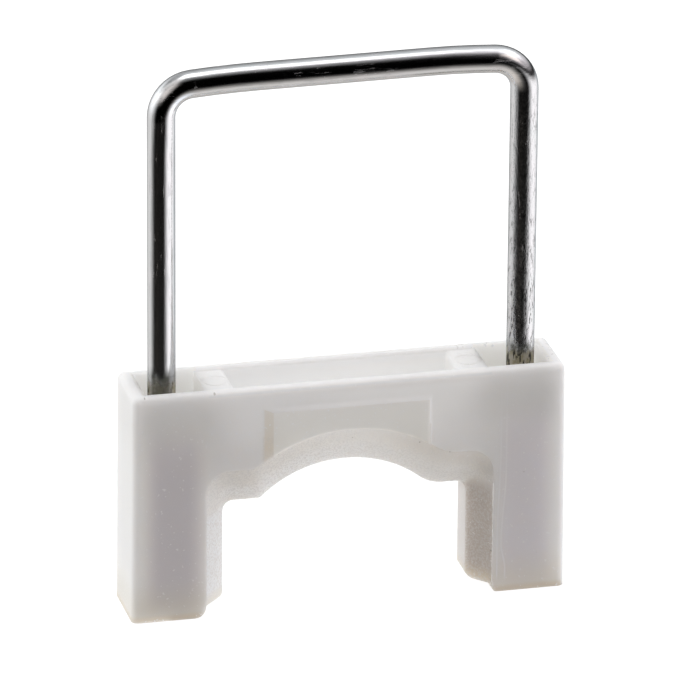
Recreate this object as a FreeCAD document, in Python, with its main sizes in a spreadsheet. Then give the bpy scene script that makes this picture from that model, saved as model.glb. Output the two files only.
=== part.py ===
"""Cable staple: a white moulded saddle with a round wire staple standing part driven in it.

The saddle stands on its two feet at Z = 0. X runs along its width, Y through its depth with the front at
-Y, and Z up. Lengths are in millimetres.
"""
import FreeCAD, Part
import math
import os
import types

import Sketcher

# Every size that can be set by itself, with what it measures.
SIZES = {
    # Outside of the saddle
    "saddle_width": (25.4, "across both feet"),
    "saddle_height": (13.72, "foot to rim"),
    "saddle_depth": (4.62, "front face to back face"),
    "end_lean": (0.11, "mould draft: how far each end leans in at the rim"),
    "outer_round": (0.4, "radius on the outside edges"),
    # Cable opening at mid depth
    "gap_width": (14.24, "clear width between the legs"),
    "shoulder_height": (6.46, "foot to the flat beside the arch"),
    "gap_corner": (0.6, "radius where leg meets shoulder"),
    "arch_rise": (2.0, "shoulder to top of the arch"),
    "arch_radius": (7.1, "radius of the arch"),
    "left_cusp_round": (0.25, "radius where the arch meets the left shoulder"),
    "right_cusp_round": (2.2, "radius where the arch meets the right shoulder"),
    # The same opening where it breaks out on the front and back faces
    "bevel_side": (1.28, "how much wider on each side"),
    "bevel_rise": (2.42, "how much higher"),
    "bevel_depth": (1.41, "depth of the bevel from each face"),
    "face_corner": (1.45, "radius where leg meets shoulder on the face"),
    "face_arch_radius": (8.7, "radius of the arch on the face"),
    "face_left_cusp_round": (1.0, "radius where the arch meets the left shoulder on the face"),
    "face_right_cusp_round": (2.5, "radius where the arch meets the right shoulder on the face"),
    "bevel_round": (0.3, "radius where the bevel meets the inside of the opening"),
    # Feet
    "left_rib_lift": (0.72, "how far the bevelled rib stops above the left foot"),
    "right_rib_lift": (0.5, "how far the bevelled rib stops above the right foot"),
    "left_rib_round": (0.3, "radius on the inner end of the left rib"),
    "right_rib_round": (0.45, "radius on the inner end of the right rib"),
    "left_foot_round": (0.65, "radius on the inner edge of the left foot"),
    "right_foot_round": (0.3, "radius on the inner edge of the right foot"),
    # Raised panel above the arch, on the front and the back
    "panel_width": (9.1, "width of its flat face"),
    "panel_top": (12.3, "foot to the top of its flat face"),
    "panel_raise": (0.2, "how far it stands out"),
    "panel_left_slope": (0.58, "run of its sloping left edge"),
    "panel_right_slope": (0.14, "run of its sloping right edge"),
    "panel_top_slope": (0.2, "run of its sloping top edge"),
    # Channel, webs and pockets in the top
    "rim_wall": (0.66, "front and back walls"),
    "end_wall": (0.84, "walls at both ends"),
    "rim_round": (0.16, "radius on the inside edge of the rim"),
    "pocket_length": (3.5, "length of the pocket round each wire leg"),
    "pocket_sink": (3.2, "depth of that pocket below the rim"),
    "web_thickness": (1.75, "thickness of each cross web"),
    "web_drop": (0.2, "how far the webs stop below the rim"),
    "web_round": (0.3, "radius on the channel side of each web"),
    "channel_sink": (2.9, "depth of the middle channel below the rim"),
    "pin_mark": (1.6, "diameter of the ejector pin mark on each web"),
    "pin_mark_line": (0.16, "width of its ring"),
    "pin_mark_sink": (0.06, "depth of its ring"),
    # Wire staple
    "wire": (1.6, "diameter of the wire"),
    "leg_spacing": (20.96, "between the centres of the legs"),
    "crown_height": (31.67, "foot to the middle of the straight of the crown, at the centre of the wire"),
    "crown_lean": (0.1, "how much higher that straight is at its right end"),
    "bend_radius": (1.85, "radius of both bends at the centre of the wire"),
    "left_haunch": (5.6, "from the left leg to where the crown runs straight"),
    "left_haunch_radius": (60.0, "radius of the crown between the left bend and its straight"),
    "right_haunch": (5.5, "from where the crown stops running straight to the right leg"),
    "right_haunch_radius": (47.0, "radius of the crown between its straight and the right bend"),
    "tip_height": (1.5, "foot to the tips of the legs"),
    "point_length": (1.8, "length of the chisel points"),
    "bore_clearance": (0.05, "between the wire and its bore, all round"),
}

# How far a cut runs past the surface that it opens.
PAST = 1.0

# The ends and the centre of an edge, as a sketch counts them, and the sketch's own origin and upright axis.
BEGIN, END, CENTRE = 1, 2, 3
ORIGIN = (-1, 1)
UPRIGHT = -2

doc = FreeCAD.newDocument("cable_staple")
sheet = doc.addObject("Spreadsheet::Sheet", "sizes")
for row, (alias, (value, meaning)) in enumerate(SIZES.items(), start=1):
    sheet.set("A%d" % row, str(value))
    sheet.set("B%d" % row, meaning)
    sheet.setAlias("A%d" % row, alias)
doc.recompute()


class Length:
    """A length as an expression in the sheet's sizes, with the value that it has now."""

    def __init__(self, text, value):
        self.text = text
        self.value = value

    def __add__(self, other):
        other = as_length(other)
        return Length("(%s + %s)" % (self.text, other.text), self.value + other.value)

    def __sub__(self, other):
        other = as_length(other)
        return Length("(%s - %s)" % (self.text, other.text), self.value - other.value)

    def __mul__(self, factor):
        return Length("(%s * %g)" % (self.text, factor), self.value * factor)

    def __truediv__(self, parts):
        return Length("(%s / %g)" % (self.text, parts), self.value / parts)

    def __neg__(self):
        return self * -1


def as_length(amount):
    """A length as it is, or a plain number as a length."""
    return amount if isinstance(amount, Length) else Length("%g" % amount, amount)


# Each size by its name, such as size.wire
size = types.SimpleNamespace(**{alias: Length("sizes." + alias, float(sheet.get(alias))) for alias in SIZES})


def point(across, up):
    """A point of a sketch where two lengths put it now."""
    return FreeCAD.Vector(as_length(across).value, as_length(up).value, 0)


def sketch_on(body, name, role, offset=0):
    """A sketch on one of the body's own origin planes, moved along the plane's normal."""
    sketch = body.newObject("Sketcher::SketchObject", name)
    plane = [feature for feature in body.Origin.OriginFeatures if feature.Role == role][0]
    sketch.AttachmentSupport = [(plane, "")]
    sketch.MapMode = "FlatFace"
    sketch.setExpression("AttachmentOffset.Base.z", as_length(offset).text)
    return sketch


def dimension(sketch, kind, where, length):
    """A dimension of the sketch, bound to the sheet."""
    length = as_length(length)
    index = sketch.addConstraint(Sketcher.Constraint(kind, *where, length.value))
    sketch.setExpression("Constraints[%d]" % index, length.text)


def place(sketch, geometry, position, across, up):
    """Ties one point of the sketch to its coordinates."""
    dimension(sketch, "DistanceX", (*ORIGIN, geometry, position), across)
    dimension(sketch, "DistanceY", (*ORIGIN, geometry, position), up)


def polygon(sketch, corners):
    """A closed outline of straight edges through its corners."""
    count = len(corners)
    first = sketch.GeometryCount
    for i in range(count):
        sketch.addGeometry(Part.LineSegment(point(*corners[i]), point(*corners[(i + 1) % count])))
    for i in range(count):
        following = first + (i + 1) % count
        sketch.addConstraint(Sketcher.Constraint("Coincident", first + i, END, following, BEGIN))
    for i in range(count):
        place(sketch, first + i, BEGIN, *corners[i])


def rectangle(sketch, left, right, bottom, top):
    polygon(sketch, [(left, bottom), (right, bottom), (right, top), (left, top)])


def circle(sketch, across, up, diameter):
    middle = point(across, up)
    index = sketch.addGeometry(Part.Circle(middle, FreeCAD.Vector(0, 0, 1), diameter.value / 2))
    place(sketch, index, CENTRE, across, up)
    dimension(sketch, "Diameter", (index,), diameter)


def pocket(body, name, sketch, length, both_sides=False):
    """A pocket of the sketch, which has to take material away."""
    doc.recompute()
    before = body.Shape.Volume
    feature = body.newObject("PartDesign::Pocket", name)
    feature.Profile = sketch
    feature.Midplane = both_sides
    feature.setExpression("Length", length.text)
    doc.recompute()
    if not body.Shape.Volume < before:
        raise RuntimeError(name + " cuts nothing")


def loft(body, kind, name, sections):
    """A loft with straight rulings between its sections."""
    feature = body.newObject("PartDesign::" + kind, name)
    feature.Profile = sections[0]
    feature.Sections = sections[1:]
    feature.Ruled = True
    doc.recompute()


def fillet(body, name, wanted, radius):
    """A fillet on the edges that a test picks out."""
    doc.recompute()
    base = body.Tip
    edges = ["Edge%d" % i for i, edge in enumerate(base.Shape.Edges, start=1) if wanted(edge)]
    feature = body.newObject("PartDesign::Fillet", name)
    feature.Base = (base, edges)
    feature.setExpression("Radius", radius.text)
    doc.recompute()


def lies_at(edge, axis, where):
    """Whether both ends of an edge have one coordinate, to within rounding."""
    return all(abs(getattr(vertex.Point, axis) - as_length(where).value) < 1e-4 for vertex in edge.Vertexes)


def arc(sketch, points):
    """An arc through three points, drawn anticlockwise whichever way they run."""
    first, middle, last = points
    if (middle - first).cross(last - middle).z < 0:
        first, last = last, first
    return sketch.addGeometry(Part.Arc(first, middle, last))


def cusp(sketch, side, shoulder, arch_centre, arch_radius, radius):
    """The arc that rounds the corner between the arch and a shoulder. Side is -1 for the left."""
    middle_up = shoulder + radius
    above_centre = (middle_up - arch_centre).value
    middle_across = math.sqrt((arch_radius + radius).value ** 2 - above_centre ** 2)
    full_turn = math.atan2(middle_across, above_centre)
    points = []
    for turn in (0, full_turn / 2, full_turn):
        across = middle_across - radius.value * math.sin(turn)
        points.append(point(across * side, middle_up - radius * math.cos(turn)))
    return arc(sketch, points)


def opening_section(body, name, offset, half_width, shoulder, corner, arch_radius, left_round, right_round):
    """The outline of the cable opening at one depth: two legs, two shoulders and the arch between them."""
    sketch = sketch_on(body, name, "XZ_Plane", offset)
    arch_top = shoulder + size.arch_rise
    arch_centre = arch_top - arch_radius
    inside = half_width - corner
    below = shoulder - corner
    foot = as_length(-PAST)
    bow = corner * math.sqrt(0.5)
    left_leg = sketch.addGeometry(Part.LineSegment(point(-half_width, foot), point(-half_width, below)))
    left_corner = arc(sketch, [
        point(-inside, shoulder),
        point(-(inside + bow), below + bow),
        point(-half_width, below),
    ])
    left_cusp = cusp(sketch, -1, shoulder, arch_centre, arch_radius, left_round)
    right_cusp = cusp(sketch, 1, shoulder, arch_centre, arch_radius, right_round)
    flat_left = sketch.Geometry[left_cusp].StartPoint
    arch_left = sketch.Geometry[left_cusp].EndPoint
    arch_right = sketch.Geometry[right_cusp].StartPoint
    flat_right = sketch.Geometry[right_cusp].EndPoint
    left_shoulder = sketch.addGeometry(Part.LineSegment(point(-inside, shoulder), flat_left))
    arch = arc(sketch, [arch_right, point(0, arch_top), arch_left])
    right_shoulder = sketch.addGeometry(Part.LineSegment(flat_right, point(inside, shoulder)))
    right_corner = arc(sketch, [
        point(half_width, below),
        point(inside + bow, below + bow),
        point(inside, shoulder),
    ])
    right_leg = sketch.addGeometry(Part.LineSegment(point(half_width, below), point(half_width, foot)))
    bottom = sketch.addGeometry(Part.LineSegment(point(half_width, foot), point(-half_width, foot)))
    for rule in [
        ("Tangent", left_leg, END, left_corner, END),
        ("Tangent", left_corner, BEGIN, left_shoulder, BEGIN),
        ("Tangent", left_shoulder, END, left_cusp, BEGIN),
        ("Tangent", left_cusp, END, arch, END),
        ("Tangent", arch, BEGIN, right_cusp, BEGIN),
        ("Tangent", right_cusp, END, right_shoulder, BEGIN),
        ("Tangent", right_shoulder, END, right_corner, END),
        ("Tangent", right_corner, BEGIN, right_leg, BEGIN),
        ("Coincident", right_leg, END, bottom, BEGIN),
        ("Coincident", bottom, END, left_leg, BEGIN),
        ("Vertical", left_leg),
        ("Vertical", right_leg),
        ("Horizontal", left_shoulder),
        ("Horizontal", right_shoulder),
        ("Horizontal", left_shoulder, BEGIN, right_shoulder, END),
        ("Symmetric", left_leg, BEGIN, right_leg, END, UPRIGHT),
        ("Equal", left_corner, right_corner),
        ("PointOnObject", arch, CENTRE, UPRIGHT),
    ]:
        sketch.addConstraint(Sketcher.Constraint(*rule))
    place(sketch, right_leg, END, half_width, foot)
    dimension(sketch, "DistanceY", (*ORIGIN, left_shoulder, BEGIN), shoulder)
    dimension(sketch, "DistanceY", (*ORIGIN, arch, CENTRE), arch_centre)
    dimension(sketch, "Radius", (left_corner,), corner)
    dimension(sketch, "Radius", (arch,), arch_radius)
    dimension(sketch, "Radius", (left_cusp,), left_round)
    dimension(sketch, "Radius", (right_cusp,), right_round)
    return sketch


def rib_end(sketch, side, root, face, mid_gap, lift, radius):
    """Where one rib is cut off above its foot, with its inner end rounded. Side is -1 for the left."""
    curve_in = face + radius
    curve_up = lift + radius
    bow = radius * math.sqrt(0.5)
    foot = as_length(-PAST)
    corners = [
        (face, curve_up),
        (mid_gap, curve_up),
        (mid_gap, foot),
        (root, foot),
        (root, lift),
        (curve_in, lift),
    ]
    lines = []
    for (across, up), (next_across, next_up) in zip(corners, corners[1:]):
        lines.append(sketch.addGeometry(
            Part.LineSegment(point(across * side, up), point(next_across * side, next_up))))
    rounding = arc(sketch, [
        point(face * side, curve_up),
        point((curve_in - bow) * side, curve_up - bow),
        point(curve_in * side, lift),
    ])
    for line, following in zip(lines, lines[1:]):
        sketch.addConstraint(Sketcher.Constraint("Coincident", line, END, following, BEGIN))
    top_end, foot_end = (BEGIN, END) if side > 0 else (END, BEGIN)
    sketch.addConstraint(Sketcher.Constraint("Coincident", lines[0], BEGIN, rounding, top_end))
    sketch.addConstraint(Sketcher.Constraint("Coincident", lines[-1], END, rounding, foot_end))
    for line, (across, up) in zip(lines, corners):
        place(sketch, line, BEGIN, across * side, up)
    place(sketch, lines[-1], END, curve_in * side, lift)
    dimension(sketch, "Radius", (rounding,), radius)


def make_saddle():
    body = doc.addObject("PartDesign::Body", "saddle")
    body.Label = "saddle"
    half_depth = size.saddle_depth / 2
    half_foot = size.saddle_width / 2
    half_rim = half_foot - size.end_lean

    # Block with ends that lean in
    outline = sketch_on(body, "block_outline", "XZ_Plane")
    polygon(outline, [
        (-half_foot, 0),
        (half_foot, 0),
        (half_rim, size.saddle_height),
        (-half_rim, size.saddle_height),
    ])
    block = body.newObject("PartDesign::Pad", "block")
    block.Profile = outline
    block.Midplane = True
    block.setExpression("Length", size.saddle_depth.text)

    def outside_edge(edge):
        on_a_face = lies_at(edge, "y", half_depth) or lies_at(edge, "y", -half_depth)
        at_rim = lies_at(edge, "z", size.saddle_height)
        at_foot = lies_at(edge, "z", 0)
        return at_rim or (on_a_face and not at_foot)

    fillet(body, "block_rounding", outside_edge, size.outer_round)

    # Raised panels with sloping edges
    half_face = size.panel_width / 2
    base_left = -(half_face + size.panel_left_slope)
    base_right = half_face + size.panel_right_slope
    base_top = size.panel_top + size.panel_top_slope
    face_shoulder = size.shoulder_height + size.bevel_rise
    for side, sign in (("front", 1), ("back", -1)):
        base = sketch_on(body, side + "_panel_base", "XZ_Plane", half_depth * sign)
        rectangle(base, base_left, base_right, face_shoulder, base_top)
        face = sketch_on(body, side + "_panel_face", "XZ_Plane", (half_depth + size.panel_raise) * sign)
        rectangle(face, -half_face, half_face, face_shoulder, size.panel_top)
        loft(body, "AdditiveLoft", side + "_panel", [base, face])

    # Cable opening, bevelled out to both faces
    half_gap = size.gap_width / 2
    rib_root = half_gap + size.bevel_side
    inner = (
        half_gap,
        size.shoulder_height,
        size.gap_corner,
        size.arch_radius,
        size.left_cusp_round,
        size.right_cusp_round,
    )
    outer = (
        rib_root,
        face_shoulder,
        size.face_corner,
        size.face_arch_radius,
        size.face_left_cusp_round,
        size.face_right_cusp_round,
    )
    clear = half_depth + size.panel_raise + PAST
    land = half_depth - size.bevel_depth
    sections = [
        opening_section(body, "front_clear", clear, *outer),
        opening_section(body, "front_face", half_depth, *outer),
        opening_section(body, "front_land", land, *inner),
        opening_section(body, "back_land", -land, *inner),
        opening_section(body, "back_face", -half_depth, *outer),
        opening_section(body, "back_clear", -clear, *outer),
    ]
    loft(body, "SubtractiveLoft", "opening", sections)

    def land_edge(edge):
        return lies_at(edge, "y", land) or lies_at(edge, "y", -land)

    fillet(body, "bevel_rounding", land_edge, size.bevel_round)

    # The ribs stop above the feet
    relief = sketch_on(body, "rib_relief", "XZ_Plane")
    in_the_gap = half_gap / 2
    rib_end(relief, -1, rib_root, half_gap, in_the_gap, size.left_rib_lift, size.left_rib_round)
    rib_end(relief, 1, rib_root, half_gap, in_the_gap, size.right_rib_lift, size.right_rib_round)
    pocket(body, "rib_ends", relief, size.saddle_depth + PAST, both_sides=True)

    def left_foot_edge(edge):
        return lies_at(edge, "x", -rib_root) and lies_at(edge, "z", 0)

    def right_foot_edge(edge):
        return lies_at(edge, "x", rib_root) and lies_at(edge, "z", 0)

    fillet(body, "left_foot_rounding", left_foot_edge, size.left_foot_round)
    fillet(body, "right_foot_rounding", right_foot_edge, size.right_foot_round)

    # Channel along the top, deeper between the webs and round the wire
    trough = half_depth - size.rim_wall
    trough_end = half_rim - size.end_wall
    web_outside = trough_end - size.pocket_length
    web_inside = web_outside - size.web_thickness

    def top_pocket(name, spans, depth):
        sketch = sketch_on(body, name + "_outline", "XY_Plane", size.saddle_height)
        for left, right in spans:
            rectangle(sketch, left, right, -trough, trough)
        pocket(body, name, sketch, depth)

    def inner_rim_edge(edge):
        along = lies_at(edge, "y", trough) or lies_at(edge, "y", -trough)
        across = lies_at(edge, "x", trough_end) or lies_at(edge, "x", -trough_end)
        return lies_at(edge, "z", size.saddle_height) and (along or across)

    def web_edge(edge):
        beside_channel = lies_at(edge, "x", web_inside) or lies_at(edge, "x", -web_inside)
        return beside_channel and lies_at(edge, "z", size.saddle_height - size.web_drop)

    top_pocket("trough", [(-trough_end, trough_end)], size.web_drop)
    fillet(body, "rim_rounding", inner_rim_edge, size.rim_round)
    top_pocket("channel", [(-web_inside, web_inside)], size.channel_sink)
    fillet(body, "web_rounding", web_edge, size.web_round)
    top_pocket("wire_pockets", [(-trough_end, -web_outside), (web_outside, trough_end)], size.pocket_sink)

    # Guide bores down the legs
    half_spacing = size.leg_spacing / 2
    bores = sketch_on(body, "bore_circles", "XY_Plane", size.saddle_height)
    for sign in (-1, 1):
        circle(bores, half_spacing * sign, 0, size.wire + size.bore_clearance * 2)
    pocket(body, "bores", bores, size.saddle_height + PAST)

    # Ejector pin marks on the webs
    marks = sketch_on(body, "pin_mark_rings", "XY_Plane", size.saddle_height - size.web_drop)
    web_middle = web_inside + size.web_thickness / 2
    for sign in (-1, 1):
        circle(marks, web_middle * sign, 0, size.pin_mark)
        circle(marks, web_middle * sign, 0, size.pin_mark - size.pin_mark_line * 2)
    pocket(body, "pin_marks", marks, size.pin_mark_sink)
    return body


def make_staple():
    body = doc.addObject("PartDesign::Body", "wire_staple")
    body.Label = "wire_staple"
    half = size.leg_spacing / 2
    tip = size.tip_height

    # Path of the wire: up the left leg, along the crown and down the right leg
    path = sketch_on(body, "wire_path", "XZ_Plane")
    bend = size.bend_radius
    bow = bend * math.sqrt(0.5)
    inside = half - bend
    straight_left = size.left_haunch - half
    straight_right = half - size.right_haunch
    left_top = size.crown_height - size.crown_lean / 2
    right_top = size.crown_height + size.crown_lean / 2

    def crown_end(side, straight, top, radius):
        """One side of the wire: its part of the crown, its bend and its leg. Side is -1 for the left."""
        fall = (inside - straight * side).value ** 2 / (2 * radius.value)
        bend_top = top - fall
        bend_low = bend_top - bend
        haunch = arc(path, [
            point(straight, top),
            point((straight + inside * side) / 2, top - fall / 4),
            point(inside * side, bend_top),
        ])
        corner = arc(path, [
            point(inside * side, bend_top),
            point((inside + bow) * side, bend_low + bow),
            point(half * side, bend_low),
        ])
        leg = path.addGeometry(Part.LineSegment(point(half * side, bend_low), point(half * side, tip)))
        return haunch, corner, leg

    left_haunch, left_bend, left_leg = crown_end(-1, straight_left, left_top, size.left_haunch_radius)
    right_haunch, right_bend, right_leg = crown_end(1, straight_right, right_top, size.right_haunch_radius)
    crown = path.addGeometry(
        Part.LineSegment(point(straight_left, left_top), point(straight_right, right_top)))
    for rule in [
        ("Tangent", left_leg, BEGIN, left_bend, END),
        ("Tangent", left_bend, BEGIN, left_haunch, END),
        ("Tangent", left_haunch, BEGIN, crown, BEGIN),
        ("Tangent", crown, END, right_haunch, END),
        ("Tangent", right_haunch, BEGIN, right_bend, END),
        ("Tangent", right_bend, BEGIN, right_leg, BEGIN),
        ("Vertical", left_leg),
        ("Vertical", right_leg),
        ("Equal", left_bend, right_bend),
    ]:
        path.addConstraint(Sketcher.Constraint(*rule))
    place(path, left_leg, END, -half, tip)
    place(path, right_leg, END, half, tip)
    place(path, crown, BEGIN, straight_left, left_top)
    place(path, crown, END, straight_right, right_top)
    dimension(path, "Radius", (left_bend,), bend)
    dimension(path, "Radius", (left_haunch,), size.left_haunch_radius)
    dimension(path, "Radius", (right_haunch,), size.right_haunch_radius)

    section = sketch_on(body, "wire_section", "XY_Plane", tip)
    circle(section, -half, 0, size.wire)
    wire = body.newObject("PartDesign::AdditivePipe", "wire")
    wire.Profile = section
    wire.Spine = path
    doc.recompute()

    # Chisel points: two slopes that meet in an edge across each tip
    points = sketch_on(body, "point_cuts", "XZ_Plane")
    slope_top = tip + size.point_length * 2
    for sign in (-1, 1):
        leg = half * sign
        polygon(points, [(leg, tip), (leg + size.wire, tip), (leg + size.wire, slope_top)])
        polygon(points, [(leg, tip), (leg - size.wire, slope_top), (leg - size.wire, tip)])
    pocket(body, "points", points, size.wire * 2, both_sides=True)
    return body


bodies = [make_saddle(), make_staple()]
doc.recompute()

for thing in doc.Objects:
    if "Invalid" in thing.State or "Error" in thing.State:
        raise RuntimeError("%s did not build: %s" % (thing.Name, thing.State))
for body in bodies:
    if body.Shape.isNull() or not body.Shape.isValid():
        raise RuntimeError(body.Label + " has no valid shape")

os.makedirs("parts", exist_ok=True)
for body in bodies:
    body.Shape.exportStep("parts/%s.step" % body.Label)
    box = body.Shape.optimalBoundingBox(False)
    print("%s %.2f mm3, X %.2f %.2f, Y %.2f %.2f, Z %.2f %.2f" % (
        body.Label, body.Shape.Volume, box.XMin, box.XMax, box.YMin, box.YMax, box.ZMin, box.ZMax))
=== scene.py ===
"""Looks of the cable staple: a moulded white saddle and a zinc-plated wire staple on a white floor."""

import math
import random

import bpy
from mathutils import Matrix, Vector


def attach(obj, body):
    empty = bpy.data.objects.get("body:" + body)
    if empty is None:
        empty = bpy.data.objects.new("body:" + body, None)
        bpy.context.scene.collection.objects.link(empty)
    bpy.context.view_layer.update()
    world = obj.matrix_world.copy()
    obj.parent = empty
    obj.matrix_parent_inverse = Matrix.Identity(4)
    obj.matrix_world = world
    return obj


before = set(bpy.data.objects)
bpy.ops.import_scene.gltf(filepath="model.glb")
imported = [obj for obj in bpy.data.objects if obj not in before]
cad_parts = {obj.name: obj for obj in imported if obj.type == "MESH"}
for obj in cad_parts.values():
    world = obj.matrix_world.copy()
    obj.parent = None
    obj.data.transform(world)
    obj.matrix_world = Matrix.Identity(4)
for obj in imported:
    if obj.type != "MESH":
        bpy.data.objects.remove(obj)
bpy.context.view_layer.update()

MM = 0.001
PER_MM = 1000.0

# The camera, in the part's frame. Angles are in degrees and lengths in millimetres.
CAMERA_AZIMUTH = -13.9
CAMERA_ELEVATION = 21.55
CAMERA_ROLL = -0.45
CAMERA_DISTANCE = 445.0
CAMERA_TARGET = (0.475, 0.0, 14.72)
CAMERA_FOCAL_PIXELS = 7841.0
CAMERA_CLIP = (10.0, 20000.0)
FRAME_PIXELS = 700.0
SENSOR = 36.0

scene = bpy.context.scene
scene.view_settings.view_transform = "Standard"


def rgba(red, green, blue):
    return (red, green, blue, 1.0)


WHITE = rgba(1.0, 1.0, 1.0)

# The colour sockets of a mix node
MIX_FIRST = 6
MIX_SECOND = 7
MIX_RESULT = 2


def feed(socket, value):
    """Sets a socket to a value, or links it to another node's output."""
    if isinstance(value, bpy.types.NodeSocket):
        socket.id_data.links.new(value, socket)
    else:
        socket.default_value = value


class Graph:
    """A node tree that is built up by short calls."""

    def __init__(self, tree):
        self.tree = tree
        tree.nodes.clear()

    def node(self, kind, inputs=None, **settings):
        made = self.tree.nodes.new(kind)
        for name, value in settings.items():
            setattr(made, name, value)
        for key, value in (inputs or {}).items():
            feed(made.inputs[key], value)
        return made

    def math(self, operation, *values):
        made = self.node("ShaderNodeMath", operation=operation)
        for socket, value in zip(made.inputs, values):
            feed(socket, value)
        return made.outputs[0]

    def times(self, product, *factors):
        """The product of several values."""
        for factor in factors:
            product = self.math("MULTIPLY", product, factor)
        return product

    def size(self, value):
        """A value without its sign."""
        return self.math("ABSOLUTE", value)

    def rest(self, share):
        """What a share leaves of one."""
        return self.math("SUBTRACT", 1.0, share)

    def vector(self, operation, *values):
        made = self.node("ShaderNodeVectorMath", operation=operation)
        for socket, value in zip(made.inputs, values):
            feed(socket, value)
        name = "Value" if operation in ("DISTANCE", "DOT_PRODUCT") else "Vector"
        return made.outputs[name]

    def scaled(self, vector, factor):
        made = self.node("ShaderNodeVectorMath", {0: vector, "Scale": factor}, operation="SCALE")
        return made.outputs[0]

    def split(self, vector):
        return self.node("ShaderNodeSeparateXYZ", {0: vector}).outputs

    def joined(self, x=0.0, y=0.0, z=0.0):
        return self.node("ShaderNodeCombineXYZ", {0: x, 1: y, 2: z}).outputs[0]

    def place(self):
        """The place on the part, in millimetres."""
        return self.scaled(self.node("ShaderNodeTexCoord").outputs["Object"], PER_MM)

    def angle(self, ray, towards):
        """The angle between a ray and a direction, in degrees."""
        return self.math("DEGREES", self.math("ARCCOSINE", self.vector("DOT_PRODUCT", ray, towards)))

    def step(self, value, span, levels=(0.0, 1.0)):
        """A smooth step: the first level up to the span's start, and the second from its end."""
        inputs = {0: value, 1: span[0], 2: span[1], 3: levels[0], 4: levels[1]}
        return self.node("ShaderNodeMapRange", inputs, interpolation_type="SMOOTHSTEP").outputs[0]

    def fade(self, value, span, start=1.0):
        """A smooth step down to nothing."""
        return self.step(value, span, (start, 0.0))

    def mix(self, factor, first, second):
        made = self.node("ShaderNodeMix", data_type="RGBA")
        feed(made.inputs["Factor"], factor)
        feed(made.inputs[MIX_FIRST], first)
        feed(made.inputs[MIX_SECOND], second)
        return made.outputs[MIX_RESULT]

    def noise(self, vector, scale, detail=2.0, roughness=0.5):
        inputs = {"Vector": vector, "Scale": scale, "Detail": detail, "Roughness": roughness}
        return self.node("ShaderNodeTexNoise", inputs).outputs["Fac"]


def new_material(name):
    """A material with an empty node tree, and the graph that fills it."""
    material = bpy.data.materials.new(name)
    material.use_nodes = True
    return material, Graph(material.node_tree)


def dress(node_name, material):
    """Gives a CAD node its material."""
    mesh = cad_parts[node_name].data
    mesh.materials.clear()
    mesh.materials.append(material)


# Camera

azimuth = math.radians(CAMERA_AZIMUTH)
elevation = math.radians(CAMERA_ELEVATION)
roll = math.radians(CAMERA_ROLL)
back = Vector(
    (
        math.sin(azimuth) * math.cos(elevation),
        -math.cos(azimuth) * math.cos(elevation),
        math.sin(elevation),
    )
)
level_right = (-back).cross(Vector((0.0, 0.0, 1.0))).normalized()
level_down = (-back).cross(level_right)
right = math.cos(roll) * level_right + math.sin(roll) * level_down
down = math.cos(roll) * level_down - math.sin(roll) * level_right
eye = MM * (Vector(CAMERA_TARGET) + CAMERA_DISTANCE * back)

camera_data = bpy.data.cameras.new("camera")
camera_data.sensor_width = SENSOR
camera_data.lens = SENSOR * CAMERA_FOCAL_PIXELS / FRAME_PIXELS
camera_data.clip_start = MM * CAMERA_CLIP[0]
camera_data.clip_end = MM * CAMERA_CLIP[1]
camera = bpy.data.objects.new("camera", camera_data)
turn = Matrix((right, -down, back)).transposed().to_4x4()
camera.matrix_world = Matrix.Translation(eye) @ turn
scene.collection.objects.link(camera)
scene.camera = camera

# World: a white light tent with a dark opening on the camera's side. All angles are in degrees.

# The colour of each light, which may be brighter than white
TENT = {
    "top": (2.9, 2.91, 2.91),
    "top_right": (1.25, 1.27, 1.29),
    "bottom": (0.925, 0.88, 0.83),
    "bottom_left": (0.16, 0.13, 0.1),
    "bottom_right": (0.55, 0.65, 0.78),
    "front_upper": (0.4, 0.4, 0.4),
    "left_upper": (0.64, 0.61, 0.59),
    "front_left": (0.4, 0.37, 0.35),
    "front_right": (0.95, 0.83, 0.74),
    "right_lower": (1.65, 1.62, 1.62),
    "right_upper": (0.85, 0.8, 0.82),
    "back_right_lower": (0.95, 1.0, 1.02),
    "back_right_upper": (0.97, 0.99, 1.0),
    "back_left_lower": (1.1, 1.09, 1.07),
    "back_left_upper": (1.75, 1.77, 1.78),
}

TOP_TILT = math.radians(3.0)
TOP_RIGHT_TILT = math.radians(40.0)

# Round lights: the direction of the middle, and the angles from it between which the light fades out
ROUND_LIGHTS = {
    "top": ((0.0, math.sin(TOP_TILT), math.cos(TOP_TILT)), (4.0, 24.0)),
    "top_right": ((math.sin(TOP_RIGHT_TILT), 0.0, math.cos(TOP_RIGHT_TILT)), (10.0, 32.0)),
    "bottom_left": ((-0.4, -0.5, -0.77), (8.0, 32.0)),
    "bottom_right": ((0.58, -0.335, -0.743), (8.0, 26.0)),
    "front_left": ((-0.58, -0.58, 0.57), (12.0, 28.0)),
    "front_right": ((0.63, -0.53, 0.57), (8.0, 20.0)),
}

# A dimmer patch straight behind the part, so that its back doesn't clip to white
BEHIND_TOWARDS = (0.1, 0.98, 0.17)
BEHIND_SPAN = (25.0, 52.0)
BEHIND_LEVEL = 0.6

# Azimuth, from the front to the right, where one part of the tent goes over into the next
AROUND = {
    "back_to_opening": (-111.0, -54.0),
    "opening_to_right": (16.0, 58.0),
    "right_to_back": (96.0, 128.0),
    "left_upper_start": (-125.0, -95.0),
    "left_upper_end": (-55.0, -20.0),
}

# Elevation, up from level, likewise
HEIGHT = {
    "front_bottom_end": (-66.0, -17.0),
    "bottom_end": (-54.0, -31.0),
    "lower_end": (-13.0, 2.0),
    "upper_start": (0.0, 22.0),
    "back_left_upper_start": (-16.0, 6.0),
    "back_left_upper_dims": (22.0, 46.0),
    "front_upper_start": (45.0, 70.0),
    "left_upper_start": (0.0, 25.0),
}
BACK_LEFT_DIM_LEVEL = 0.3

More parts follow.
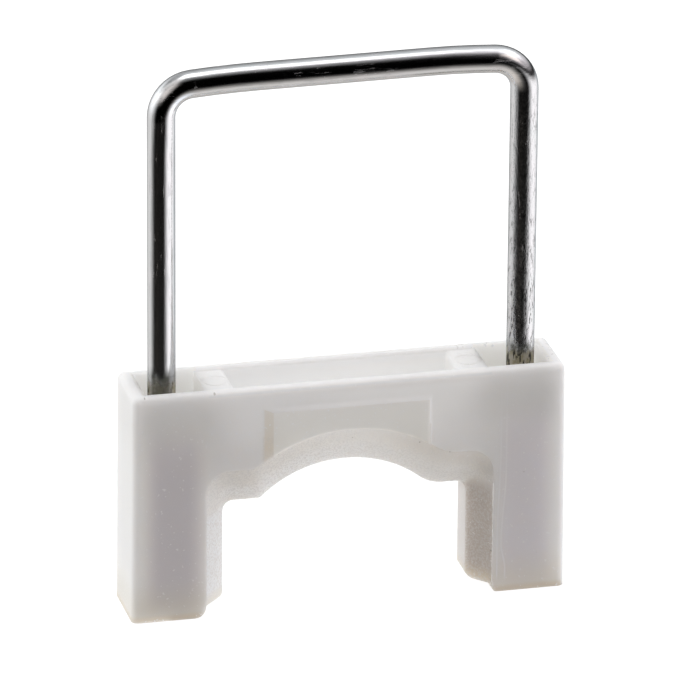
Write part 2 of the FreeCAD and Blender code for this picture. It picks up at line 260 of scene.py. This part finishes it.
# Sideways part of the ray, between the left and the right half of the back
BACK_HALVES = (-0.5, 0.2)

world = bpy.data.worlds.new("studio")
scene.world = world
world.use_nodes = True
g = Graph(world.node_tree)
ray = g.node("ShaderNodeTexCoord").outputs["Generated"]
ray_x, ray_y, ray_z = g.split(ray)
around = g.math("DEGREES", g.math("ARCTAN2", ray_x, g.times(ray_y, -1.0)))
height = g.math("DEGREES", g.math("ARCSINE", ray_z))

past_left = g.step(around, AROUND["back_to_opening"])
past_right = g.step(around, AROUND["opening_to_right"])
past_side = g.step(around, AROUND["right_to_back"])
in_front = g.times(past_left, g.rest(past_right))
at_right = g.times(past_right, g.rest(past_side))
at_left = g.times(g.step(around, AROUND["left_upper_start"]), g.fade(around, AROUND["left_upper_end"]))
behind = g.step(g.angle(ray, BEHIND_TOWARDS), BEHIND_SPAN, (BEHIND_LEVEL, 1.0))
at_back = g.times(g.math("ADD", g.rest(past_left), past_side), behind)
at_back_right = g.times(at_back, g.step(ray_x, BACK_HALVES))
at_back_left = g.math("SUBTRACT", at_back, at_back_right)

front_bottom = g.times(in_front, g.fade(height, HEIGHT["front_bottom_end"]))
other_bottom = g.times(g.rest(in_front), g.fade(height, HEIGHT["bottom_end"]))
above_bottom = g.step(height, HEIGHT["bottom_end"])
lower = g.times(above_bottom, g.fade(height, HEIGHT["lower_end"]))
upper = g.step(height, HEIGHT["upper_start"])
past_lower_left = g.step(height, HEIGHT["back_left_upper_start"])
lower_left = g.times(above_bottom, g.rest(past_lower_left))
dimmed = g.step(height, HEIGHT["back_left_upper_dims"], (1.0, BACK_LEFT_DIM_LEVEL))
upper_left = g.times(past_lower_left, dimmed)

shares = {
    "bottom": g.math("ADD", front_bottom, other_bottom),
    "front_upper": g.times(in_front, g.step(height, HEIGHT["front_upper_start"])),
    "left_upper": g.times(at_left, g.step(height, HEIGHT["left_upper_start"])),
    "right_lower": g.times(at_right, lower),
    "right_upper": g.times(at_right, upper),
    "back_right_lower": g.times(at_back_right, lower),
    "back_right_upper": g.times(at_back_right, upper),
    "back_left_lower": g.times(at_back_left, lower_left),
    "back_left_upper": g.times(at_back_left, upper_left),
}
for name, (towards, span) in ROUND_LIGHTS.items():
    shares[name] = g.fade(g.angle(ray, towards), span)
tent = (0.0, 0.0, 0.0)
for name, colour in TENT.items():
    tent = g.vector("ADD", tent, g.scaled(colour, shares[name]))
seen = g.node("ShaderNodeLightPath").outputs["Is Camera Ray"]
background = g.node("ShaderNodeBackground", {"Color": g.mix(seen, tent, WHITE), "Strength": 1.0})
g.node("ShaderNodeOutputWorld", {"Surface": background.outputs[0]})

# Floor: white, with the part's shadow. The lower side of the tent lights and mirrors in its place,
# and only the feet stand on something solid.

# Half the width of the floor, in metres
FLOOR_RADIUS = 1.5

FLOOR_COLOUR = rgba(0.3, 0.3, 0.3)
FLOOR_GLOW = 0.87
UNDER_FEET_COLOUR = rgba(0.8, 0.74, 0.68)
UNDER_FEET_SHARE = 0.6

# The middle of each foot, and how far from it the solid patch ends, in millimetres
FOOT_X = 10.5
FOOT_X_EDGE = (2.0, 2.6)
FOOT_Y_EDGE = (2.2, 2.6)

floor_mesh = bpy.data.meshes.new("floor")
corners = [(-1, -1, 0), (1, -1, 0), (1, 1, 0), (-1, 1, 0)]
floor_mesh.from_pydata([FLOOR_RADIUS * Vector(c) for c in corners], [], [(0, 1, 2, 3)])
floor = bpy.data.objects.new("floor", floor_mesh)
scene.collection.objects.link(floor)

floor_paint, g = new_material("floor_white")
at_x, at_y = g.split(g.place())[:2]
beside_foot = g.size(g.math("SUBTRACT", g.size(at_x), FOOT_X))
near_foot = g.fade(beside_foot, FOOT_X_EDGE, UNDER_FEET_SHARE)
under_feet = g.times(near_foot, g.fade(g.size(at_y), FOOT_Y_EDGE))
solid = g.node("ShaderNodeBsdfDiffuse", {"Color": UNDER_FEET_COLOUR}).outputs[0]
clear = g.node("ShaderNodeBsdfTransparent").outputs[0]
unseen = g.node("ShaderNodeMixShader", {0: under_feet, 1: clear, 2: solid}).outputs[0]
matte = g.node("ShaderNodeBsdfDiffuse", {"Color": FLOOR_COLOUR}).outputs[0]
glow = g.node("ShaderNodeEmission", {"Color": WHITE, "Strength": FLOOR_GLOW}).outputs[0]
lit = g.node("ShaderNodeAddShader", {0: matte, 1: glow}).outputs[0]
seen = g.node("ShaderNodeLightPath").outputs["Is Camera Ray"]
shade = g.node("ShaderNodeMixShader", {0: seen, 1: unseen, 2: lit}).outputs[0]
g.node("ShaderNodeOutputMaterial", {"Surface": shade})
floor_mesh.materials.append(floor_paint)

# White plastic: smooth on the faces, with the fine grain of the mould inside the cable opening, and
# tints that paint shade and light onto many of its zones

# Colours of the plastic. Most tints paint shade or light: painted shade on the legs, feet, floor edge,
# right end, faces that look left or right, rib ends, webs, left shoulder, outer arch band, panel and
# its slope; painted light in the pockets, trough and thin bridge; a painted highlight on the inner arch
# band and the mould lines.
PLASTIC = {
    "cloud_dark": rgba(0.965, 0.947, 0.92),
    "cloud_light": rgba(0.975, 0.957, 0.93),
    "left_leg": rgba(0.785, 0.765, 0.785),
    "right_leg": rgba(0.885, 0.865, 0.895),
    "left_foot": rgba(0.8, 0.78, 0.73),
    "right_foot": rgba(0.86, 0.835, 0.785),
    "floor_edge_warm_shade": rgba(0.76, 0.68, 0.57),
    "right_end_shade": rgba(0.92, 0.935, 0.95),
    "shade_facing_left": rgba(0.79, 0.76, 0.745),
    "left_bevel_shade": rgba(0.66, 0.605, 0.56),
    "shade_facing_right": rgba(0.95, 0.97, 0.985),
    "rib_end": rgba(0.78, 0.7, 0.57),
    "left_pocket": rgba(1.0, 0.965, 0.885),
    "right_pocket": rgba(0.985, 0.945, 0.855),
    "trough": rgba(0.995, 1.0, 1.0),
    "web": rgba(0.885, 0.885, 0.88),
    "left_shoulder": rgba(0.91, 0.89, 0.86),
    "thin_bridge": rgba(0.998, 0.99, 0.975),
    "inner_band_highlight": WHITE,
    "outer_band_shade": rgba(0.865, 0.845, 0.815),
    "panel": rgba(0.94, 0.915, 0.875),
    "panel_slope_shade": rgba(0.9, 0.855, 0.795),
    "fleck": rgba(0.99, 0.985, 0.985),
    "pit": rgba(0.78, 0.765, 0.75),
    "thin_pit": rgba(0.87, 0.855, 0.84),
    "speck": rgba(0.3, 0.27, 0.24),
    "mould_line_highlight": rgba(1.0, 0.985, 1.0),
    "rim_mark": rgba(0.6, 0.58, 0.57),
}

# Where the zones of the saddle's tints, most of them painted shade and light, begin and end, in
# millimetres: across from left to right, away from the middle, through from front to back, and up
# from the floor
ACROSS = {
    "left_to_right": (-8.0, 8.0),
    "right_end_shade": (11.6, 12.3),
    "left_shoulder": (-6.5, -4.8),
    "thin_bridge_start": (-3.5, 2.0),
    "thin_bridge_end": (7.0, 9.0),
    "inner_band_dims": (-1.0, 4.5),
    "outer_band_grows": (-3.0, 3.5),
    "rim_marks": (5.0, 8.0),
}
FROM_MIDDLE_X = {
    "opening_side": (8.3, 8.5),
    "leg_inside": (7.8, 9.6),
    "leg_outside": (11.0, 12.5),
    "gap_side": (6.4, 6.8),
    "web_end": (8.2, 8.3),
    "pocket_start": (8.0, 8.2),
    "pocket_end": (11.9, 12.05),
}
FROM_MIDDLE_Y = {
    "trough_wall": (1.7, 1.85),
    "inner_band_highlight": (1.2, 1.8),
    "outer_band_shade": (1.45, 2.1),
}
THROUGH = {
    "panel_face": (-2.5, -2.4),
    "panel_slope_shade": (-2.36, -2.32),
    "specks": (-1.2, -1.0),
    "mould_lines": (-2.25, -2.15),
    "rim_marks": (-1.9, -1.5),
}
UP = {
    "floor_edge_warm_shade": (0.12, 0.5),
    "foot": (0.3, 3.0),
    "mould_lines_start": (0.5, 1.2),
    "mould_lines_dim": (6.0, 12.5),
    "rib_end": (0.75, 1.6),
    "rib_top": (5.6, 7.2),
    "shoulder": (5.8, 6.6),
    "thin_bridge_start": (5.8, 7.0),
    "arch": (6.5, 7.4),
    "trough_floor": (10.2, 10.6),
    "opening_top": (10.7, 10.9),
    "leg_top": (10.0, 13.0),
    "thin_bridge_end": (13.0, 13.3),
    "web_start": (13.4, 13.48),
    "web_end": (13.54, 13.6),
    "rim": (13.45, 13.6),
}

# The same for the way that a face looks, which sets where some painted shade falls: the parts of its
# normal across and through the saddle
FACING = {
    "flat_face": (0.9, 0.98),
    "right_end_shade": (0.3, 0.8),
    "left": (-0.6, -0.3),
    "right": (0.3, 0.6),
    "front": (-0.5, -0.25),
    "panel_slope_shade": (-0.3, -0.2),
}

# Shares of some tints of painted shade and painted highlight
FOOT_SHARE = 0.85
RIB_END_SHARE = 0.7
INNER_BAND_RIGHT = 0.35
OUTER_BAND_LEFT = 0.55

# Noises: scale and detail, then the levels between which a mark begins, and its share
CLOUDS = (0.35, 2.0)
FLECKS = (5.5, 1.0)
FLECK_LEVELS = (0.68, 0.74)
FLECK_SHARE = 0.7
PITS = (9.0, 1.0)
PIT_LEVELS = (0.35, 0.6)
PIT_SHARE = 0.65
RIM_MARKS = (5.0, 2.0)
RIM_MARK_LEVELS = (0.6, 0.68)
RIM_MARK_SHARE = 0.5

# Dark specks on the front: place across, height and radius, in millimetres, and strength
SPECKS = (
    (-11.92, 13.66, 0.06, 0.6),
    (-7.9, 13.62, 0.09, 0.6),
    (-4.19, 9.64, 0.06, 0.6),
    (0.2, 10.14, 0.055, 0.5),
    (4.06, 9.62, 0.06, 0.6),
    (5.81, 8.91, 0.055, 0.5),
    (10.19, 7.3, 0.07, 0.2),
    (8.33, 2.55, 0.07, 0.6),
    (10.99, 2.24, 0.06, 0.15),
)
SPECK_CORE = 0.4

# Two lines of the mould up the front of the right leg, painted lighter as a highlight of their ridges:
# the heights between which a line drifts, and its places across
FIRST_LINE = ((3.7, 8.5), (8.67, 8.82))
SECOND_LINE = ((3.0, 7.5), (8.9, 9.15))
SECOND_LINE_KICK = ((1.4, 3.0), 0.24)
LINE_EDGE = (0.02, 0.07)
LINE_SHARE = 0.8
LINE_TOP_SHARE = 0.2

# How far light goes into the plastic, in millimetres, and how much further in the pockets and the
# thin bridge
LIGHT_DEPTH = 1.8
POCKET_DEPTH = 3.0
THIN_DEPTH = 0.9

# The radius that softens the edges, and the height of the grain, in millimetres
SOFT_EDGE = 0.25
GRAIN_HEIGHT = 0.06

PLASTIC_IOR = 1.49

plastic, g = new_material("white_plastic")
place = g.place()
at_x, at_y, at_z = g.split(place)
out_x = g.size(at_x)
out_y = g.size(at_y)
facing_x, facing_y = g.split(g.node("ShaderNodeNewGeometry").outputs["Normal"])[:2]
flat_face = g.step(g.size(facing_y), FACING["flat_face"])
off_face = g.fade(g.size(facing_y), FACING["flat_face"])
to_right = g.step(at_x, ACROSS["left_to_right"])


def left_right(name):
    """A colour that goes over from the left side to the right side."""
    return g.mix(to_right, PLASTIC["left_" + name], PLASTIC["right_" + name])


in_opening = g.times(g.fade(out_x, FROM_MIDDLE_X["opening_side"]), g.fade(at_z, UP["opening_top"]))
grainy = g.times(in_opening, off_face)
tint = g.mix(g.noise(place, *CLOUDS), PLASTIC["cloud_dark"], PLASTIC["cloud_light"])

# Legs and feet: painted shade on the legs, darker on the left one, warm painted shade towards the
# floor, and painted shade on the right end
painted_leg_shade = g.times(
    g.step(out_x, FROM_MIDDLE_X["leg_inside"]),
    g.fade(out_x, FROM_MIDDLE_X["leg_outside"]),
    g.fade(at_z, UP["leg_top"]),
)
# Painted shade: the legs are tinted darker, the left one most.
tint = g.mix(painted_leg_shade, tint, left_right("leg"))
# Warm painted shade on the feet, fading out upwards.
tint = g.mix(g.fade(at_z, UP["foot"], FOOT_SHARE), tint, left_right("foot"))
# Warm painted shade along the bottom edge, next to the floor.
tint = g.mix(g.fade(at_z, UP["floor_edge_warm_shade"], FOOT_SHARE), tint, PLASTIC["floor_edge_warm_shade"])
# Cool painted shade on the right end face, picked by the way the face looks.
right_end_shade = g.times(g.step(facing_x, FACING["right_end_shade"]), g.step(at_x, ACROSS["right_end_shade"]))
tint = g.mix(right_end_shade, tint, PLASTIC["right_end_shade"])

# Ribs on both sides of the gap: painted shade by the way each face looks, and warm painted shade at
# their lower ends
beside_gap = g.times(grainy, g.step(out_x, FROM_MIDDLE_X["gap_side"]), g.fade(at_z, UP["rib_top"]))
# Painted shade on the rib faces that look left.
shade_facing_left = g.times(g.fade(facing_x, FACING["left"]), beside_gap)
tint = g.mix(shade_facing_left, tint, PLASTIC["shade_facing_left"])
# Warm painted shade, darker still, on those faces that also look to the front.
left_bevel_shade = g.times(shade_facing_left, g.fade(facing_y, FACING["front"]))
tint = g.mix(left_bevel_shade, tint, PLASTIC["left_bevel_shade"])
# Cool painted shade on the rib faces that look right.
shade_facing_right = g.times(g.step(facing_x, FACING["right"]), beside_gap)
tint = g.mix(shade_facing_right, tint, PLASTIC["shade_facing_right"])
# Warm painted shade at the ribs' lower ends, next to the floor.
rib_end = g.times(g.fade(at_z, UP["rib_end"], RIB_END_SHARE), beside_gap)
tint = g.mix(rib_end, tint, PLASTIC["rib_end"])

# Pockets, trough and webs: painted light in the pockets and the trough, and painted shade on the webs'
# tops
inside_walls = g.fade(out_y, FROM_MIDDLE_Y["trough_wall"])
above_floor = g.step(at_z, UP["trough_floor"])
in_pocket = g.times(
    g.step(out_x, FROM_MIDDLE_X["pocket_start"]),
    g.fade(out_x, FROM_MIDDLE_X["pocket_end"]),
    inside_walls,
    above_floor,
)
# Painted warm light in the pockets, a tint for the glow through their thin walls.
tint = g.mix(in_pocket, tint, left_right("pocket"))
trough_light = g.times(g.fade(out_x, FROM_MIDDLE_X["pocket_start"]), above_floor, inside_walls)
# Painted light in the trough.
tint = g.mix(trough_light, tint, PLASTIC["trough"])
# Painted shade on the webs' tops.
web_shade = g.times(
    g.step(at_z, UP["web_start"]),
    g.fade(at_z, UP["web_end"]),
    g.fade(out_x, FROM_MIDDLE_X["web_end"]),
)
tint = g.mix(web_shade, tint, PLASTIC["web"])

# Bridge, arch and panel: painted shade on the left shoulder, the panel and its slope, painted light on
# the thin bridge, and bands of painted highlight and shade on the arch
# Painted shade on the left shoulder of the opening.
left_shoulder = g.times(grainy, g.fade(at_x, ACROSS["left_shoulder"]), g.step(at_z, UP["shoulder"]))
tint = g.mix(left_shoulder, tint, PLASTIC["left_shoulder"])
on_panel = g.times(g.fade(at_y, THROUGH["panel_face"]), flat_face)
thin_bridge = g.times(
    g.step(at_x, ACROSS["thin_bridge_start"]),
    g.fade(at_x, ACROSS["thin_bridge_end"]),
    g.step(at_z, UP["thin_bridge_start"]),
    g.fade(at_z, UP["thin_bridge_end"]),
    g.rest(on_panel),
)
# Painted light on the thin bridge, a tint for the light that comes through it from the trough behind.
tint = g.mix(g.times(thin_bridge, g.rest(grainy)), tint, PLASTIC["thin_bridge"])
on_arch = g.times(grainy, g.step(at_z, UP["arch"]))
# A painted highlight along the inner edge of the arch, weaker to the right.
inner_band_highlight = g.times(
    on_arch,
    g.fade(out_y, FROM_MIDDLE_Y["inner_band_highlight"]),
    g.step(at_x, ACROSS["inner_band_dims"], (1.0, INNER_BAND_RIGHT)),
)
tint = g.mix(inner_band_highlight, tint, PLASTIC["inner_band_highlight"])
# Painted shade on the outer part of the arch's bevel, weaker to the left.
outer_band_shade = g.times(
    on_arch,
    g.step(out_y, FROM_MIDDLE_Y["outer_band_shade"]),
    g.step(at_x, ACROSS["outer_band_grows"], (OUTER_BAND_LEFT, 1.0)),
)
tint = g.mix(outer_band_shade, tint, PLASTIC["outer_band_shade"])
# Painted shade on the panel's face.
tint = g.mix(on_panel, tint, PLASTIC["panel"])
# Warm painted shade on the panel's sloping side that looks left.
panel_slope_shade = g.times(g.fade(facing_x, FACING["panel_slope_shade"]), g.fade(at_y, THROUGH["panel_slope_shade"]))
tint = g.mix(panel_slope_shade, tint, PLASTIC["panel_slope_shade"])

# Flecks, pits, specks, mould lines painted lighter as a highlight, and marks on the rim
flecks = g.step(g.noise(place, *FLECKS), FLECK_LEVELS, (0.0, FLECK_SHARE))
tint = g.mix(flecks, tint, PLASTIC["fleck"])
pits = g.noise(place, *PITS)
pit_tint = g.mix(thin_bridge, PLASTIC["pit"], PLASTIC["thin_pit"])
tint = g.mix(g.times(grainy, g.fade(pits, PIT_LEVELS, PIT_SHARE)), tint, pit_tint)
on_front = g.joined(x=at_x, z=at_z)
specks = 0.0
for speck_x, speck_z, reach, strength in SPECKS:
    distance = g.vector("DISTANCE", on_front, (speck_x, 0.0, speck_z))
    specks = g.math("MAXIMUM", specks, g.fade(distance, (SPECK_CORE * reach, reach), strength))
tint = g.mix(g.times(specks, g.fade(at_y, THROUGH["specks"])), tint, PLASTIC["speck"])
first_line = g.step(at_z, *FIRST_LINE)
second_line = g.math("ADD", g.step(at_z, *SECOND_LINE), g.fade(at_z, *SECOND_LINE_KICK))
lines = 0.0
for line_x in (first_line, second_line):
    beside_line = g.size(g.math("SUBTRACT", at_x, line_x))
    lines = g.math("MAXIMUM", lines, g.fade(beside_line, LINE_EDGE, LINE_SHARE))
lines = g.times(
    lines,
    g.step(at_z, UP["mould_lines_dim"], (1.0, LINE_TOP_SHARE)),
    g.step(at_z, UP["mould_lines_start"]),
    g.fade(at_y, THROUGH["mould_lines"]),
)
# The mould lines are painted lighter: a painted highlight of their ridges, weaker higher up.
tint = g.mix(lines, tint, PLASTIC["mould_line_highlight"])
rim_marks = g.times(
    g.step(at_z, UP["rim"]),
    g.step(at_x, ACROSS["rim_marks"]),
    g.step(at_y, THROUGH["rim_marks"]),
    g.step(g.noise(place, *RIM_MARKS), RIM_MARK_LEVELS, (0.0, RIM_MARK_SHARE)),
)
tint = g.mix(rim_marks, tint, PLASTIC["rim_mark"])

soft_edges = g.node("ShaderNodeBevel", {"Radius": SOFT_EDGE * MM}, samples=6).outputs[0]
grain = {
    "Strength": 0.7,
    "Distance": GRAIN_HEIGHT * MM,
    "Height": g.times(pits, grainy),
    "Normal": soft_edges,
}
depth = g.math("ADD", LIGHT_DEPTH * MM, g.times(in_pocket, POCKET_DEPTH * MM))
depth = g.math("ADD", depth, g.times(thin_bridge, THIN_DEPTH * MM))
skin = g.node(
    "ShaderNodeBsdfPrincipled",
    {
        "Base Color": tint,
        "Roughness": 0.42,
        "IOR": PLASTIC_IOR,
        "Specular IOR Level": 0.35,
        "Subsurface Weight": 1.0,
        "Subsurface Radius": (0.97, 0.93, 0.89),
        "Subsurface Scale": depth,
        "Normal": g.node("ShaderNodeBump", grain).outputs[0],
    },
)
g.node("ShaderNodeOutputMaterial", {"Surface": skin.outputs[0]})
dress("saddle", plastic)

# Zinc-plated wire: drawn streaks along the wire, a worn right leg, and a film, and grime with a
# painted dark reflection, where it enters the plastic

ZINC = {
    "cool": rgba(0.55, 0.575, 0.58),
    "warm": rgba(0.62, 0.6, 0.62),
    "streak": rgba(0.3, 0.31, 0.32),
    "worn": rgba(0.1, 0.1, 0.1),
    # Grime, and also a painted dark reflection of the tent's opening
    "grime_and_dark_reflection": rgba(0.075, 0.078, 0.062),
    "film_dark": rgba(0.32, 0.3, 0.215),
    "film_light": rgba(0.42, 0.4, 0.34),
    "split": rgba(0.02, 0.02, 0.016),
    "mirror_rim": rgba(0.6, 0.6, 0.6),
}

# Where the zones of the wire begin and end, in millimetres
LEFT_TO_RIGHT = (-4.0, 4.0)
RIGHT_LEG = (0.0, 4.0)
RIGHT_LEG_TOP = (28.0, 31.0)
WEAR_LESSENS = (15.0, 26.0)
CROWN = (29.6, 31.0)
LEAN_END = (27.0, 30.0)
GRIME_TOP = (14.2, 15.0)

# The film's height on the left and on the right leg, its fading edge and how uneven that is, in
# millimetres
FILM_TOP = (14.25, 14.4)
FILM_EDGE = (-0.1, 0.2)
FILM_RAGGED = 0.9

# Shares: wear at the top of the right leg, grime with its painted dark reflection, and film on the dark
# side of the left and right leg
WEAR_TOP = 0.5
GRIME_SHARE = 0.92
FILM_FRONT = (0.25, 1.0)

# The side that mirrors the tent's opening. Grime and a painted dark reflection lie on it and film keeps
# off it, between these cosines of the angle, and a share of the grime lies elsewhere.
DARK_SIDE = (-0.31, -0.95, 0.0)
DARK_REFLECTION_FACING = (0.7, 0.88)
FILM_FACING = (0.5, 0.85)
GRIME_ASIDE = 0.4

# Noises: scale, detail and roughness, then the levels between which a mark begins, and its share
STREAKS = (6.0, 3.0, 0.6)
STREAK_LEVELS = (0.3, 0.5)
STREAK_SHARE = 0.35
SCUFF_LEVELS = (0.56, 0.66)
ZINC_CLOUDS = (0.8, 3.0)
SCUFF_CLOUDS = (0.5, 0.6)
CRACKS = (8.0, 4.0, 0.7)
CRACK_LEVELS = (0.38, 0.46)
CRACK_SHARE = 0.9
BLOTCHES = (3.5, 3.0)
BLOTCH_LEVELS = (0.35, 0.6)
BLOTCH_SHARES = (0.9, 0.55)
RAGS = (4.0, 2.0)
FILM = (3.0, 3.0)
FILM_LEVELS = (0.4, 0.6)
SPLITS = (4.5, 3.0, 0.6)
SPLIT_LEVELS = (0.41, 0.47)
SPLIT_SHARE = 0.95

# What is left of a noise's scale along the wire, so that its marks are drawn out that way
LONG_DRAWN = 0.12
SHORT_DRAWN = 0.22

# The roughness of the bare wire, and what its marks add
BARE_ROUGHNESS = 0.1
SCUFF_ROUGHNESS = 0.25
GRIME_ROUGHNESS = 0.15
FILM_ROUGHNESS = 0.35
FILM_NOT_METAL = 0.85

# Shares of the relief, then its height and the radius that smooths the wire's facets, in millimetres
STREAK_RELIEF = 0.35
CRACK_RELIEF = 2.2
RELIEF_HEIGHT = 0.05
WIRE_SOFTNESS = 0.3

# The tent stands close by, so its dark opening lies a little further left in the left leg
LEFT_LEAN = math.radians(5.0)

zinc, g = new_material("zinc_steel")
place = g.place()
at_x, at_y, at_z = g.split(place)
facing_dark = g.vector("DOT_PRODUCT", g.node("ShaderNodeNewGeometry").outputs["Normal"], DARK_SIDE)
along_leg = g.joined(at_x, at_y, g.times(at_z, LONG_DRAWN))
along_leg_short = g.joined(at_x, at_y, g.times(at_z, SHORT_DRAWN))
along_crown = g.joined(g.times(at_x, LONG_DRAWN), at_y, at_z)
in_crown = g.step(at_z, CROWN)
crown_streaks = g.times(g.noise(along_crown, *STREAKS), in_crown)
leg_streaks = g.times(g.noise(along_leg, *STREAKS), g.rest(in_crown))
streaks = g.math("ADD", crown_streaks, leg_streaks)
clouds = g.noise(place, *ZINC_CLOUDS)
tone = g.mix(clouds, ZINC["cool"], ZINC["warm"])
tone = g.mix(g.fade(streaks, STREAK_LEVELS, STREAK_SHARE), tone, ZINC["streak"])
wear = g.times(
    g.step(at_x, RIGHT_LEG),
    g.fade(at_z, RIGHT_LEG_TOP),
    g.step(at_z, WEAR_LESSENS, (1.0, WEAR_TOP)),
)
cracks = g.noise(along_leg_short, *CRACKS)
tone = g.mix(g.times(wear, g.fade(cracks, CRACK_LEVELS, CRACK_SHARE)), tone, ZINC["worn"])
scuffs = g.times(g.step(streaks, SCUFF_LEVELS), g.step(clouds, SCUFF_CLOUDS))

# Grime with a painted dark reflection, then the film with its dark splits
blotch_share = g.step(at_x, LEFT_TO_RIGHT, BLOTCH_SHARES)
blotches = g.step(g.noise(place, *BLOTCHES), BLOTCH_LEVELS, (blotch_share, 1.0))
grime_and_reflection_side = g.times(g.step(facing_dark, DARK_REFLECTION_FACING, (GRIME_ASIDE, 1.0)), blotches)
# Grime and a painted dark reflection: dark near the plastic, most on the side that mirrors the opening.
grime_and_dark_reflection = g.times(g.fade(at_z, GRIME_TOP, GRIME_SHARE), grime_and_reflection_side)
tone = g.mix(grime_and_dark_reflection, tone, ZINC["grime_and_dark_reflection"])
ragged = g.math("ADD", at_z, g.times(g.noise(along_leg, *RAGS), FILM_RAGGED))
above_film = g.math("SUBTRACT", ragged, g.step(at_x, LEFT_TO_RIGHT, FILM_TOP))
film_side = g.math("MAXIMUM", g.fade(facing_dark, FILM_FACING), g.step(at_x, LEFT_TO_RIGHT, FILM_FRONT))
film = g.times(g.fade(above_film, FILM_EDGE), film_side)
film_tone = g.mix(g.step(g.noise(place, *FILM), FILM_LEVELS), ZINC["film_dark"], ZINC["film_light"])
tone = g.mix(film, tone, film_tone)
splits = g.times(film, g.fade(g.noise(along_leg_short, *SPLITS), SPLIT_LEVELS, SPLIT_SHARE))
tone = g.mix(splits, tone, ZINC["split"])

roughness = g.math("ADD", BARE_ROUGHNESS, g.times(scuffs, SCUFF_ROUGHNESS))
roughness = g.math("ADD", roughness, g.times(grime_and_dark_reflection, GRIME_ROUGHNESS))
roughness = g.math("ADD", roughness, g.times(film, FILM_ROUGHNESS))
smooth = g.node("ShaderNodeBevel", {"Radius": WIRE_SOFTNESS * MM}, samples=8).outputs[0]
lean = g.times(g.fade(at_x, LEFT_TO_RIGHT), g.fade(at_z, LEAN_END, LEFT_LEAN))
turned = g.node("ShaderNodeVectorRotate", {"Vector": smooth, "Angle": lean}, rotation_type="Z_AXIS")
relief = g.math("ADD", g.times(streaks, STREAK_RELIEF), g.times(cracks, wear, CRACK_RELIEF))
drawn = {
    "Strength": 0.25,
    "Distance": RELIEF_HEIGHT * MM,
    "Height": relief,
    "Normal": turned.outputs[0],
}
metal = g.node(
    "ShaderNodeBsdfPrincipled",
    {
        "Base Color": tone,
        "Metallic": g.rest(g.times(film, FILM_NOT_METAL)),
        "Roughness": roughness,
        "Specular Tint": ZINC["mirror_rim"],
        "Normal": g.node("ShaderNodeBump", drawn).outputs[0],
    },
)
g.node("ShaderNodeOutputMaterial", {"Surface": metal.outputs[0]})
dress("wire_staple", zinc)

# Flash: a thin uneven fin that the mould left on the inner edge of the right leg's front face.
# Points across and up, and all lengths, are in millimetres.

FLASH_POINTS = ((8.43, 6.85), (8.42, 5.7), (8.42, 3.85), (8.415, 2.6), (8.415, 0.6))
FLASH_STEP = 0.06
FLASH_LEAN = -0.1
FLASH_PROUD = 0.08
FLASH_ROOT = 0.03
FLASH_ROOT_WIDTH = 0.3
FLASH_BROKEN = 0.9
FLASH_END = 0.1
FRONT_FACE = -2.31

FLASH_NOISE = (2.5, 2.0)
FLASH_DARK = rgba(0.9, 0.89, 0.88)

flash, g = new_material("white_plastic_flash")
flash_tint = g.mix(g.noise(g.place(), *FLASH_NOISE), FLASH_DARK, WHITE)
flash_values = {"Base Color": flash_tint, "Roughness": 0.25, "IOR": PLASTIC_IOR}
flash_skin = g.node("ShaderNodeBsdfPrincipled", flash_values)
g.node("ShaderNodeOutputMaterial", {"Surface": flash_skin.outputs[0]})


def spread(points, step):
    """Points at about even steps along a path."""
    placed = []
    for first, second in zip(points, points[1:]):
        first = Vector(first)
        second = Vector(second)
        count = max(1, round((second - first).length / step))
        placed += [first.lerp(second, k / count) for k in range(count)]
    return placed + [Vector(points[-1])]


def raised_line(name, points):
    """A closed thin fin along a path on the front face. Its uneven edge leans over to one side."""
    chance = random.Random(name)
    path = spread(points, FLASH_STEP)
    raw = [1.0 - FLASH_BROKEN * chance.random() for p in path]
    size = [(a + b + c) / 3 for a, b, c in zip(raw[:1] + raw, raw, raw[1:] + raw[-1:])]
    size[0] = FLASH_END
    size[-1] = FLASH_END
    section = (
        (0.0, FLASH_ROOT),
        (FLASH_LEAN, -FLASH_PROUD),
        (FLASH_ROOT_WIDTH * FLASH_LEAN, FLASH_ROOT),
    )
    sides = len(section)
    vertices = []
    for p, scale in zip(path, size):
        for across, out in section:
            vertices.append(MM * Vector((p.x + scale * across, FRONT_FACE + scale * out, p.y)))
    faces = [tuple(range(sides))]
    for ring in range(len(path) - 1):
        here = ring * sides
        for k in range(sides):
            following = (k + 1) % sides
            faces.append((here + k, here + sides + k, here + sides + following, here + following))
    last = (len(path) - 1) * sides
    faces.append(tuple(last + k for k in reversed(range(sides))))
    mesh = bpy.data.meshes.new(name)
    mesh.from_pydata(vertices, [], faces)
    mesh.materials.append(flash)
    piece = bpy.data.objects.new(name, mesh)
    scene.collection.objects.link(piece)
    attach(piece, "saddle_body")


raised_line("right_edge_flash", FLASH_POINTS)
